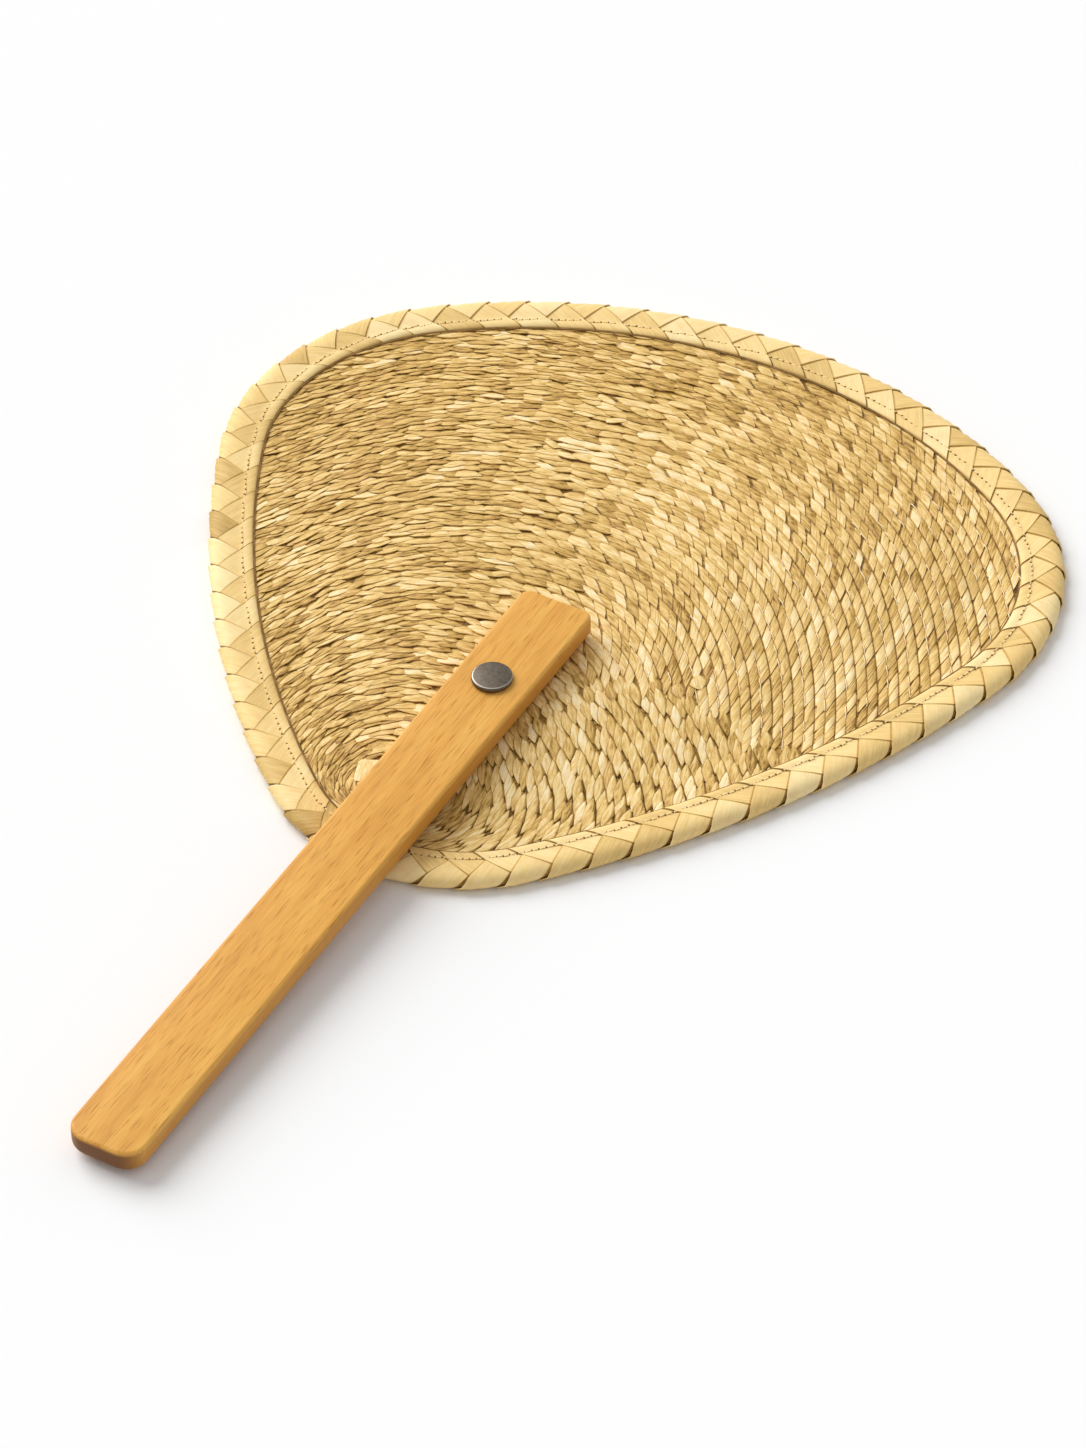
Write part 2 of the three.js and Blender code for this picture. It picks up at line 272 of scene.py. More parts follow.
def third_file(bearing, radius):
    """Share of a third file of laps: rows of rope braid show three at the left and below, others two."""
    place = from_top(bearing)
    upper_right = gently((place + 32) / 40) * gently((58 - place) / 26)
    return (1 - upper_right) * (1 - gently(flat_share(bearing, radius) * 2 - 0.5))


def lap_pattern(steps_along, steps_across):
    """One lap of palm strand as a thin pad a unit square: corners and faces for the copies."""
    bpy.ops.object.select_all(action="DESELECT")
    bpy.ops.mesh.primitive_grid_add(x_subdivisions=steps_along, y_subdivisions=steps_across, size=1)
    pad = bpy.context.object
    thickness = pad.modifiers.new("thickness", "SOLIDIFY")
    thickness.thickness = 1
    thickness.offset = -1
    bpy.ops.object.modifier_apply(modifier="thickness")
    corners = np.array([v.co for v in pad.data.vertices])
    faces = np.array([p.vertices for p in pad.data.polygons])
    bpy.data.objects.remove(pad)
    return corners, faces


def new_piece(name, points, faces, grain, tone):
    """A mesh with its grain map, along and across the palm fibre, and a tone for each corner."""
    mesh = bpy.data.meshes.new(name)
    mesh.from_pydata(points, [], faces)
    grain_map = mesh.uv_layers.new(name="grain")
    corner = np.zeros(len(mesh.loops), np.int32)
    mesh.loops.foreach_get("vertex_index", corner)
    grain_map.uv.foreach_set("vector", grain[corner].astype(np.float32).ravel())
    mesh.attributes.new("tone", "FLOAT", "POINT").data.foreach_set("value", tone.astype(np.float32))
    piece = bpy.data.objects.new(name, mesh)
    bpy.context.scene.collection.objects.link(piece)
    bpy.ops.object.select_all(action="DESELECT")
    piece.select_set(True)
    bpy.context.view_layer.objects.active = piece
    bpy.ops.object.shade_smooth_by_angle(angle=50 * degree)
    return piece


def copies(faces, count, corners):
    """Faces of that many copies of a pattern, one after another."""
    return (faces[None] + corners * np.arange(count)[:, None, None]).reshape(-1, faces.shape[1])


def facing(faces, side):
    """Faces of a pattern, turned over for the back of the leaf."""
    return faces if side > 0 else faces[:, ::-1]


def plain(points, faces, tone):
    """Points, faces, grain and tone of a part that shows no fibres."""
    return points, faces, np.zeros((len(points), 2)), np.full(len(points), tone)


def joined(parts):
    """Points, faces, grain and tone of several parts as one."""
    points, faces, grain, tone = zip(*parts)
    starts = np.cumsum([0] + [len(p) for p in points[:-1]])
    faces = [f + s for f, s in zip(faces, starts)]
    return tuple(np.concatenate(whole) for whole in (points, faces, grain, tone))


front_lap = lap_pattern(6, 4)
back_lap = lap_pattern(3, 2)
lap_draw = np.random.default_rng(11)


def flat_lean(bearing):
    """Angle of the flat laps to their row; below zero they run inwards as the row goes clockwise."""
    return -around(bearing, 32, 37, 36, 32) * degree


def rope_lean(bearing):
    return along_ropes(bearing, -8, -14, -10, 5) * degree


def lap_spacing(bearing, radius):
    """Way along the row from lap to lap; the rope braid below has the longest laps."""
    return (5.7 + third_file(bearing, radius) * along_ropes(bearing, -0.1, -0.1, 0, 5)) * mm


def spread_over(places, values):
    """Stretches the even steps of the pattern to uneven ones."""
    return np.interp(places, np.linspace(-0.5, 0.5, len(values)), values)[None]


def flat_lap(corners, file, bearing, width, height, draw):
    """Way along and across the row, fall and shade of a flat lap: a slanted pad from seam to middle."""
    run = spread_over(corners[:, 0], [-0.12, 0.03, 0.11, 0.5, 0.89, 0.97, 1.12])
    beside = spread_over(corners[:, 1], [-0.62, -0.5, -0.42, 0.05, 0.5])
    rough = around(bearing, 0.8, 0.6, 0.45, 0.6)[:, None]
    lean = flat_lean(bearing)[:, None] + (1.5 + 4 * rough) * degree * draw[:, 0]
    end = np.abs(2 * run - 1)
    across = (0.5 - run) * height * (1 + 0.06 * rough * draw[:, 6])
    along = beside * width * (1 - 0.12 * np.minimum(end, 1.1) ** 2.2) + across / np.tan(lean)
    along += (0.03 + 0.08 * rough) * width * draw[:, 3]
    at_seam = (run < 0.5) == (file == 0)
    sewn = gently((from_top(bearing) - 20) / 22)[:, None]  # the sewing pulls the seams in at the right only
    dip = np.where(at_seam, 0.5 + 0.3 * sewn, 0.6) * np.minimum(end, 1.2) ** 5
    fall = 0.6 * dip + 0.16 * (2 * beside) ** 2 + 0.22 * (0.5 - beside)
    # painted shade: darker at the seams, most at the right where the sewing pulls them in, and along the edge
    # that goes under the next lap
    seam_shade = np.where(at_seam, 0.55 - 0.31 * sewn, 0.55)
    shade = np.where(end > 0.93, seam_shade, 1.0) * np.where(beside < -0.49, 0.2, 1.0)
    return along, across, fall, shade


def rope_lap(corners, bearing, width, height, draw):
    """The same for a lap of twisted braid: a slender lens along the row, pointed where it goes under."""

    def here(left, top, right, lower):
        return along_ropes(bearing, left, top, right, lower)[:, None]

    side = (np.arange(len(bearing)) % 2 * 2 - 1)[:, None]  # the laps lie to the left and right by turns
    run = spread_over(corners[:, 0], [-1, -0.82, -0.45, 0, 0.45, 0.82, 1])
    beside = spread_over(corners[:, 1], [-0.5, -0.4, 0.18, 0.33, 0.5])
    rough = here(1, 0.7, 0.4, 0.25)
    crossing = here(2, 3, 4, 0) * side
    lean = rope_lean(bearing)[:, None] + (crossing + 4 * rough * draw[:, 0]) * degree
    length = here(2, 2, 2, 1.12) * width * (1 + 0.16 * rough * draw[:, 2])
    lens = 0.03 + 0.97 * (1 - np.abs(run) ** here(1.9, 2.2, 1.9, 1.5))
    broad = here(1.5, 1.35, 1.2, 1.85) * height * (1 + 0.18 * rough * draw[:, 6])
    along = run * length / 2 + 0.14 * rough * width * draw[:, 3]
    across = np.tan(lean) * run * length / 2 + beside * lens * broad
    bow = (0.1 + 0.16 * draw[:, 7]) * np.sin(np.pi * run)
    across += height * rough * (bow + 0.12 * draw[:, 8] + 0.07 * side)
    steep = here(1, 1, 1, 0.12)
    fall = steep * (0.8 * np.maximum(-run, 0) ** 3 + 0.45 * np.maximum(run, 0) ** 4)
    fall = fall + 0.12 * np.abs(2 * beside) ** 4 + (0.22 + 0.2 * steep) * (0.5 + beside)
    fall = fall + 0.1 * rough * np.abs(draw[:, 4])
    edge = here(0.32, 0.4, 0.3, 0.05)  # painted shade, darker on both sides in the lower rows
    # painted shade towards the side that goes under the next file, darkest at its edge, and at both pointed
    # ends
    tucked = np.where(beside > 0.4, 0.08, here(0.7, 0.75, 0.7, 0.35))
    shade = np.where(beside > 0.3, tucked, np.where(beside < -0.49, edge, 1.0))
    return along, across, fall, shade * np.where(np.abs(run) > 0.99, 0.25, 1.0)


def file_middle(bearing, file):
    """Middle of a file of laps: the outer, the inner and, where there is one, that between them."""
    inner = seam_radius(bearing)
    move = third_file(bearing, inner + row_width / 2) / 12
    return inner + row_width * (0.75 + move, 0.25 - move, 0.5)[file]


def row_path(first, last, step):
    """Bearings along a length of braid, about a step apart."""
    return np.linspace(first, last, int((last - first) / step) + 2)


def summed(path, rate):
    """Sum of a rate from the start of a path to each of its bearings."""
    return np.concatenate([[0], np.cumsum((rate[1:] + rate[:-1]) / 2 * np.diff(path))])


def lap_count(path, file):
    """Number of laps from the start of a file to each bearing of the path."""
    middle = np.maximum(file_middle(path, file), smallest_turn)
    return summed(path, middle / lap_spacing(path, middle))


def row_laps(first, last, file):
    """Bearings and radii of the laps of a file; those of neighbouring rows line up at the right."""
    path = row_path(first, last, 0.2 * degree)
    count = lap_count(path, file)
    line_up = 55 * degree
    line_up += full_turn * round(((first + last) / 2 - line_up) / full_turn)
    there = file_middle(line_up, file)
    shear = there / math.tan(-flat_lean(line_up)) / lap_spacing(line_up, there)
    count += shear - np.interp(line_up, path, count)
    # In a row of less than a turn the files keep step below, the middle one half a lap behind.
    if last - first < 330 * degree:
        in_step = lap_count(path, 2) + (0.5 if file == 2 else 0)
        in_step += round(np.interp(line_up + 10 * degree, path, count - in_step))
        below = third_file(path, file_middle(path, file)) * (path > line_up - 25 * degree)
        count += below * (in_step - count)
    marks = np.arange(math.ceil(count[0]), math.floor(count[-1]))
    bearing = np.interp(marks, count, path)
    middle = file_middle(bearing, file)
    keep = (depth_at(field_point(middle, bearing)) > hidden_depth) & (middle > smallest_turn)
    if file == 2:
        keep &= third_file(bearing, middle) > 0.5
    return bearing[keep], middle[keep]


patch_draw = np.random.default_rng(3)
patch_waves = patch_draw.normal(size=(7, 2)) / (7 * mm)
patch_starts = patch_draw.random(7) * full_turn


def patchiness(bearing, radius):
    """Paler and browner parts of the leaf, each some rows wide."""
    swing = field_point(radius, bearing) @ patch_waves.T * 0.6 + patch_starts
    return np.cos(swing).sum(axis=1, keepdims=True) / 2


def on_row(bearing, middle, along, across):
    """Points of the leaf by the way along and across a row from a place on it."""
    onward = along / (middle * drawn_in(bearing))[:, None]
    radius = middle[:, None] + across / row_spread(bearing)[:, None] + row_width * onward / full_turn
    return field_point(radius, bearing[:, None] + onward)


def lay_laps(pattern, first, last, file, side):
    """Copies of a lap along a file, each bent to the row, dipping at both ends and lapping the next."""
    corners, faces = pattern
    bearing, middle = row_laps(first, last, file)
    count = len(bearing)
    draw = lap_draw.normal(size=(count, 10, 1))
    width = lap_spacing(bearing, middle)[:, None] * (1 + 0.05 * draw[:, 2])
    row = (row_width * row_spread(bearing))[:, None]
    flat = (lies_flat(bearing, middle, draw[:, 9, 0]) & (file < 2))[:, None]
    flat_way = flat_lap(corners, file, bearing, width, row / 2, draw)
    rope_way = rope_lap(corners, bearing, width, row / (2 + third_file(bearing, middle)[:, None]), draw)
    along, across, fall, shade = (np.where(flat, pad, rope) for pad, rope in zip(flat_way, rope_way))

    points = on_row(bearing, middle, along, across)
    fall = fall * (1 + 0.12 * draw[:, 1]) + 0.06 * np.abs(draw[:, 4])
    level = plait_thickness / 2 - 0.05 * mm - fall * mm + corners[:, 2] * lap_thickness
    places = raised(points, plait_height(points) + side * level).reshape(-1, 3)

    slanting = flat & (from_top(bearing) + 8 * draw[:, 8, 0] > 36)[:, None]  # fibre along the cuts
    from_cut = along - across / np.tan(flat_lean(bearing))[:, None]
    grain = np.where(
        slanting[..., None],
        np.stack([across / (4 * mm), from_cut / mm], axis=-1),
        np.stack([along / (6 * mm), across / mm], axis=-1),
    ).reshape(-1, 2)
    shading_by_region = around(bearing, -0.08, 0.02, 0.02, 0.15)[:, None]  # painted shade darkens the left rows; the lower rows are the palest
    tone = 0.6 + shading_by_region + 0.17 * draw[:, 5] + 0.07 * patchiness(bearing, middle)
    tone = np.clip(tone, 0.3, 0.95) * shade
    return places, copies(facing(faces, side), count, len(corners)), grain, tone.ravel()


thread_pad = lap_pattern(4, 2)
thread_tone = 1.4  # palest of all: the cotton that the rows are sewn with
thread_draw = np.random.default_rng(17)
stitch_step = 6 * mm
stitch_length = 4.4 * mm
stitch_width = 0.28 * mm


def row_thread(first, last):
    """Long stitches on the middle line of a row, where the sewing comes up between the laps."""
    corners, faces = thread_pad
    path = row_path(first, last, 0.2 * degree)
    way = summed(path, np.maximum(seam_radius(path) + row_width / 2, smallest_turn))
    bearing = np.interp(np.arange(stitch_step / 2, way[-1], stitch_step), way, path)
    middle = seam_radius(bearing) + row_width / 2
    shown = thread_draw.random(len(bearing)) < around(bearing, 0.2, 0.75, 0.8, 0.15)
    shown &= depth_at(field_point(middle, bearing)) > binding_width - 2 * mm
    shown &= lies_flat(bearing, middle, 0) & (from_top(bearing) > 30)
    bearing, middle = bearing[shown], middle[shown]
    draw = thread_draw.normal(size=(len(bearing), 3, 1))
    along = corners[None, :, 0] * (stitch_length + 0.5 * mm * draw[:, 0]) + 0.4 * mm * draw[:, 1]
    sway = 0.12 * draw[:, 2] + 0.1 * np.sin(7 * corners[:, 0])
    points = on_row(bearing, middle, along, corners[None, :, 1] * stitch_width + sway * mm)
    bow = 0.5 * (2 * corners[:, 0]) ** 4 + 0.1 * (2 * corners[:, 1]) ** 2
    level = plait_thickness / 2 + (0.08 - bow + 0.3 * corners[:, 2]) * mm
    places = raised(points, plait_height(points) + level).reshape(-1, 3)
    return plain(places, copies(faces, len(bearing), len(corners)), thread_tone)


def row_ground(first, last):
    """A dark strip of painted shade, seen only between the laps: a thin closed strip under them."""
    bearing = row_path(first, last, 2 * degree)
    seam = seam_radius(bearing)
    showing = depth_at(field_point(seam + row_width / 2, bearing)) > hidden_depth - 3 * mm
    bearing, seam = bearing[showing], seam[showing]
    inner = np.where(seam < row_width, 0.2 * mm, seam)  # the first turn of the spiral fills its middle
    outer = seam + row_width
    rings = []
    for rim, above in ((inner, -1), (outer, -1), (outer, 1), (inner, 1)):
        points = field_point(rim, bearing)
        rings.append(raised(points, plait_height(points) + above * ground_thickness / 2))
    points = np.stack(rings, axis=1).reshape(-1, 3)
    here = 4 * np.arange(len(bearing) - 1)[:, None, None]
    ring = np.array([[k, (k + 1) % 4, 4 + (k + 1) % 4, 4 + k] for k in range(4)])
    sides = (here + ring[None]).reshape(-1, 4)
    ends = np.array([[3, 2, 1, 0], [0, 1, 2, 3]])
    ends[1] += 4 * (len(bearing) - 1)
    # painted shade between the laps, darkest in the lower rows
    tone = np.repeat(around(bearing, 0.14, 0.16, 0.16, 0.1), 4)
    return plain(points, np.concatenate([sides, ends]), tone)


def first_strip():
    """The pale flat end of the palm strip that the spiral starts from, half under the handle."""
    corners, faces = front_lap
    size = corners[:, :2] * first_strip_size
    place = turned(size, first_strip_turn) + first_strip_place
    points = turned(place - rivet_place, -leaf_turn)
    rim = np.abs(2 * corners[:, :2]).max(axis=1)
    level = plait_thickness / 2 - 0.25 * mm * rim**6 + corners[:, 2] * end_thickness
    grain = size[:, ::-1] / np.array([6 * mm, mm])
    return raised(points, plait_height(points) + level), faces, grain, np.full(len(corners), 0.85)


def first_turn(side):
    """The tight first turn of strand that closes the spiral's middle: a small round pad on each face."""
    corners, faces = front_lap
    square = np.abs(corners[:, :2]).max(axis=1)
    far = np.maximum(np.hypot(corners[:, 0], corners[:, 1]), 1e-6)
    rounded = corners[:, :2] * (square / far)[:, None]
    points = core + rounded * first_turn_width
    level = plait_thickness / 2 - (0.25 + 4 * square**4) * mm + corners[:, 2] * end_thickness
    grain = np.stack([np.arctan2(rounded[:, 1], rounded[:, 0]), square * first_turn_width / mm], axis=-1)
    # painted shade round the pad's rim
    tone = np.where(square > 0.45, 0.2, 0.62)
    return raised(points, plait_height(points) + side * level), facing(faces, side), grain, tone


def new_finish(name):
    """A new material, its nodes and its shader."""
    material = bpy.data.materials.new(name)
    material.use_nodes = True
    return material, material.node_tree, material.node_tree.nodes["Principled BSDF"]


def add_node(tree, kind, inputs=(), **settings):
    """A shader node with its settings, and its inputs as values or as the sockets that feed them."""
    node = tree.nodes.new(kind)
    for name, value in settings.items():
        setattr(node, name, value)
    for socket, value in dict(inputs).items():
        if isinstance(value, bpy.types.NodeSocket):
            tree.links.new(value, node.inputs[socket])
        else:
            node.inputs[socket].default_value = value
    return node


def noise(tree, place, scale, detail, roughness=0.5):
    inputs = {"Vector": place, "Scale": scale, "Detail": detail, "Roughness": roughness}
    return add_node(tree, "ShaderNodeTexNoise", inputs).outputs["Fac"]


def times(tree, value, by):
    return add_node(tree, "ShaderNodeMath", {0: value, 1: by}, operation="MULTIPLY").outputs[0]


def ranged(tree, value, low, high, to_low, to_high):
    """A value from low to high, made one from to_low to to_high."""
    inputs = {"Value": value, "From Min": low, "From Max": high, "To Min": to_low, "To Max": to_high}
    return add_node(tree, "ShaderNodeMapRange", inputs).outputs[0]


def tinted(tree, share, colour, tint):
    """A colour mixed with a share of a tint."""
    inputs = {0: share, 6: colour, 7: (*tint, 1)}
    return add_node(tree, "ShaderNodeMix", inputs, data_type="RGBA").outputs[2]


def toned(tree, value, stops):
    """Colour of a value by stops, each a place and a linear colour."""
    node = add_node(tree, "ShaderNodeValToRGB", {0: value})
    elements = node.color_ramp.elements
    while len(elements) < len(stops):
        elements.new(0.5)
    for element, (place, colour) in zip(elements, stops):
        element.position = place
        element.color = (*colour, 1)
    return node.outputs[0]


def palm_finish(name, stops, stain, stain_share, fibres, contrast, roughness):
    """Dry palm leaf: a tone for each strip, fine fibres along it, stains over several strips."""
    material, tree, shader = new_finish(name)
    tone = add_node(tree, "ShaderNodeAttribute", attribute_name="tone").outputs["Fac"]
    grain = add_node(tree, "ShaderNodeUVMap", uv_map="grain").outputs["UV"]
    place = add_node(tree, "ShaderNodeTexCoord").outputs["Object"]
    split = add_node(tree, "ShaderNodeSeparateXYZ", {0: grain})
    along = times(tree, split.outputs["X"], 1.4)
    across = times(tree, split.outputs["Y"], fibres)
    apart = times(tree, tone, 437.0)  # strips of different tones have different fibres
    run = add_node(tree, "ShaderNodeCombineXYZ", {"X": along, "Y": across, "Z": apart}).outputs[0]
    fibre = noise(tree, run, 1.0, 3.0, 0.6)
    wander = ranged(tree, fibre, 0.3, 0.7, -0.42 * contrast, 0.34 * contrast)
    shade = add_node(tree, "ShaderNodeMath", {0: tone, 1: wander}).outputs[0]
    stains = ranged(tree, noise(tree, place, 95.0, 3.0), 0.52, 0.78, 0.0, stain_share)
    stained = tinted(tree, stains, toned(tree, shade, stops), stain)
    ruddy = ranged(tree, noise(tree, place, 230.0, 1.0), 0.52, 0.68, 0.0, 0.16)
    flushed = tinted(tree, ruddy, stained, (0.80, 0.45, 0.19))
    gloss = ranged(tree, fibre, 0.0, 1.0, roughness - 0.12, roughness + 0.12)
    relief = {"Height": fibre, "Strength": 0.35, "Distance": 0.12 * mm}
    bump = add_node(tree, "ShaderNodeBump", relief).outputs[0]
    tree.links.new(flushed, shader.inputs["Base Color"])
    tree.links.new(gloss, shader.inputs["Roughness"])
    tree.links.new(bump, shader.inputs["Normal"])
    shader.inputs["Specular IOR Level"].default_value = 0.18
    return material


plait_finish = palm_finish(
    "plaited palm",
    [(0.0, (0.15, 0.07, 0.012)), (0.14, (0.40, 0.22, 0.045)), (0.4, (0.66, 0.42, 0.118)),
     (0.66, (0.84, 0.585, 0.22)), (0.95, (0.95, 0.74, 0.38)), (1.0, (0.95, 0.80, 0.50))],
    stain=(0.50, 0.30, 0.075), stain_share=0.32, fibres=1.25, contrast=1.0, roughness=0.55,
)

for index, (first, last) in enumerate(plait_lengths()):
    node = f"plait_row_{index:02d}" if index else "plait_core"
    first = first if index else spiral_start
    parts = [row_ground(first, last)]
    for file in (0, 1, 2):
        parts.append(lay_laps(front_lap, first, last, file, 1))
        parts.append(lay_laps(back_lap, first, last, file, -1))
    parts += [row_thread(first, last)] if index else [first_turn(1), first_turn(-1), first_strip()]
    row = new_piece(f"braid_{node}", *joined(parts))
    row.data.materials.append(plait_finish)
    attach(row, "leaf")
    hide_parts(node)

# Border binding. Palm strips are wrapped round the edge one after another, from the back over the nose,
# and woven on the front with short inner strips that run the other way, so that they meet in chevrons.
# Below the strips lies a dark core of the edge, painted shade that shows only as dark lines between the
# strips and as a painted shadow line beside them.

strip_count = 66
strip_thickness = 0.4 * mm
nose_depth = 4 * mm
nose_half = binding_thickness / 2
chevron_depth = 9.5 * mm  # tips of the outer strips
outer_lean = 0.85  # anticlockwise travel of an outer strip for its way inwards
inner_lean = 1.05
sewing_depth = 10.5 * mm
sewing_sag = 0.55 * mm  # the stitches pull the binding's faces in by this much
shadow_line_margin = 0.35 * mm  # the dark core reaches this far past the binding's width, a painted shadow line on the plait

quarter = np.linspace(0, math.pi / 2, 60)
nose_steps = np.hypot(np.diff(nose_depth * (1 - np.cos(quarter))), np.diff(nose_half * np.sin(quarter)))
nose_run = np.concatenate([[0], np.cumsum(nose_steps)])
run_beyond = nose_run[-1] - nose_depth  # how much longer the way over the nose is than its depth
back_reach = 9 * mm  # the outer strips bend round the nose from this far in on the back
back_end = binding_width + run_beyond + 0.2 * mm  # and lie flat from there to the inner margin


def binding_section(run, lift):
    """Depth and height of a place by its way round the nose, front positive, raised by the lift."""
    way = np.abs(run)
    angle = np.interp(way, nose_run, quarter)
    flat = np.maximum(way - nose_run[-1], 0)
    normal = np.stack([-nose_half * np.cos(angle), nose_depth * np.sin(angle)])
    normal /= np.linalg.norm(normal, axis=0)
    depth = nose_depth * (1 - np.cos(angle)) + flat + lift * normal[0]
    sag = sewing_sag * np.clip(flat / (sewing_depth - nose_depth), 0, 1) ** 2
    height = nose_half * np.sin(angle) - sag + lift * normal[1]
    return depth, nose_half + np.sign(run) * height


arc_starts = np.concatenate([[0], np.cumsum([r * (last - first) for _, r, first, last in edge_arcs])])
edge_length = arc_starts[-1]
strip_pitch = edge_length / strip_count


def edge_place(along, depth):
    """Point of the leaf's plane by the way along its edge, clockwise from the top, and the depth."""
    along = np.mod(along, edge_length)
    points = np.zeros((*np.shape(along), 2))
    for start, (centre, radius, first, last) in zip(arc_starts, edge_arcs):
        here = (along >= start) & (along <= start + radius * (last - first))
        place = centre + (radius - depth)[..., None] * direction(first + (along - start) / radius)
        points = np.where(here[..., None], place, points)
    return points


def binding_points(along, run, lift):
    depth, height = binding_section(run, lift)
    return raised(edge_place(along, depth), height)


tip_run = chevron_depth + run_beyond
tuck_run = tip_run - strip_pitch / (outer_lean + inner_lean)  # where the next inner strip comes out
strip_draw = np.random.default_rng(23)
strip_tones = np.clip(0.82 + 0.11 * strip_draw.normal(size=(strip_count, 2)), 0.3, 1)
tanned = strip_draw.random((strip_count, 2)) < 0.13
strip_tones = np.where(tanned, strip_tones - 0.24, strip_tones)

strip_steps = 14
strip_corners, strip_faces = lap_pattern(strip_steps, 7)
strip_place = np.tile((strip_corners[:, 0] + 0.5) * strip_steps, (strip_count, 1))  # step along the strip
strip_columns = [-0.07, 0, 0.04, 0.075, 0.35, 0.65, 0.93, 1]  # from the edge that goes under
strip_across = spread_over(strip_corners[:, 1], strip_columns)
strip_along = (np.arange(strip_count)[:, None] + strip_across) * strip_pitch


def laid_strips(along, run, lift, tones, covered):
    """All strips of a kind, with painted shade along the edge and the end that go under others, most at the
    nose.
    """
    points = binding_points(along, run, lift + strip_corners[None, :, 2] * strip_thickness)
    faces = copies(strip_faces, strip_count, len(strip_corners))
    across = np.broadcast_to(strip_across * strip_pitch / mm, run.shape)
    grain = np.stack([run / (9 * mm), across], axis=-1)
    # painted shade along the edge that goes under the next strip, wider at the nose and past the chevron
    # tips, and on the covered ends
    under = strip_across < np.where((np.abs(run) < 4.5 * mm) | (run > tip_run), 0.06, 0.03)
    painted_strip_shade = np.minimum(np.where(under, 0.1, 1), np.where(covered, 0.42, 1))
    return points.reshape(-1, 3), faces, grain.reshape(-1, 2), (tones[:, None] * painted_strip_shade).ravel()


def outer_strips():
    cover = tuck_run + strip_across * (tip_run - tuck_run)  # where an inner strip goes over
    last = strip_steps - 3
    run = -back_reach + np.minimum(strip_place / last, 1) * (cover - 0.5 * mm + back_reach)
    run += np.interp(strip_place, [last, last + 1, last + 2, last + 3], [0, 0.25 * mm, 0.8 * mm, 1.9 * mm])
    run -= np.interp(strip_place, [0, 1], [back_end - back_reach, 0])
    at_nose = np.exp(-((run / mm) / 2.2) ** 2)
    along = strip_along - outer_lean * np.maximum(run, -2 * mm)
    along -= 0.08 * strip_pitch * np.clip(strip_across, 0, 1) ** 6 * at_nose
    puff = 0.18 * (1 - (2 * strip_across - 1) ** 2)
    fall = np.clip((run - cover + 1 * mm) / (2.4 * mm), 0, 1) ** 2
    lift = (-0.42 + 0.34 * strip_across**2 + puff) * mm - 0.5 * mm * fall
    lift += 0.3 * mm * at_nose * (np.abs(strip_across) ** 4 - np.abs(1 - strip_across) ** 4)
    return laid_strips(along, run, lift, strip_tones[:, 0], strip_place > last + 0.5)


def inner_strips():
    cover = tip_run + strip_across * (tuck_run - tip_run)  # where it comes out from an outer strip
    end = binding_width + run_beyond - 0.1 * mm
    onward = np.clip((strip_place - 3) / (strip_steps - 3), 0, 1) ** 0.8
    run = cover + 0.5 * mm + onward * (end - cover - 0.5 * mm)
    run -= np.interp(strip_place, [0, 1, 2, 3], [2.1 * mm, 0.8 * mm, 0.25 * mm, 0])
    along = strip_along - outer_lean * tip_run + inner_lean * (run - tip_run)
    rise = 1 - np.clip((run - cover + 1.6 * mm) / (2.2 * mm), 0, 1)
    beyond = np.clip((run - run_beyond - sewing_depth) / (binding_width - sewing_depth), 0, 1)
    lift = (-0.46 + 0.3 * strip_across**2) * mm - 0.45 * mm * rise**2
    lift += (0.3 * np.sin(np.pi * beyond**0.6) - 0.8 * beyond**8) * mm
    # their ends, which go under the outer strips, get painted shade
    covered = (strip_place < 2.5) | (strip_place > strip_steps - 0.5)
    return laid_strips(along, run, lift, strip_tones[:, 1], covered)


def border_sewing():
    """The stitches that hold the folded strips, close together, with a dark dot after each, painted shade of
    its needle hole.
    """
    corners, faces = thread_pad
    count = round(edge_length / (2.4 * mm))
    draw = thread_draw.normal(size=(count, 3, 1))
    middle = np.arange(count)[:, None] * edge_length / count
    parts = []
    # the second kind is a dark dot of painted shade for each needle hole
    for start, length, width, rise, tone in ((0, 1.5, 0.34, 0.12, 0.97), (1.2, 0.55, 0.5, 0.05, 0.0)):
        along = middle + (start + corners[None, :, 0] * length + 0.12 * draw[:, 0]) * mm
        run = sewing_depth + run_beyond + (corners[None, :, 1] * width + 0.16 * draw[:, 1]) * mm
        bow = 0.12 * (2 * corners[:, 0]) ** 2
        lift = (rise - bow[None] + 0.3 * corners[None, :, 2] - 0.12) * mm
        points = binding_points(along, run, np.broadcast_to(lift, run.shape)).reshape(-1, 3)
        parts.append(plain(points, copies(faces, count, len(corners)), tone))
    return joined(parts)


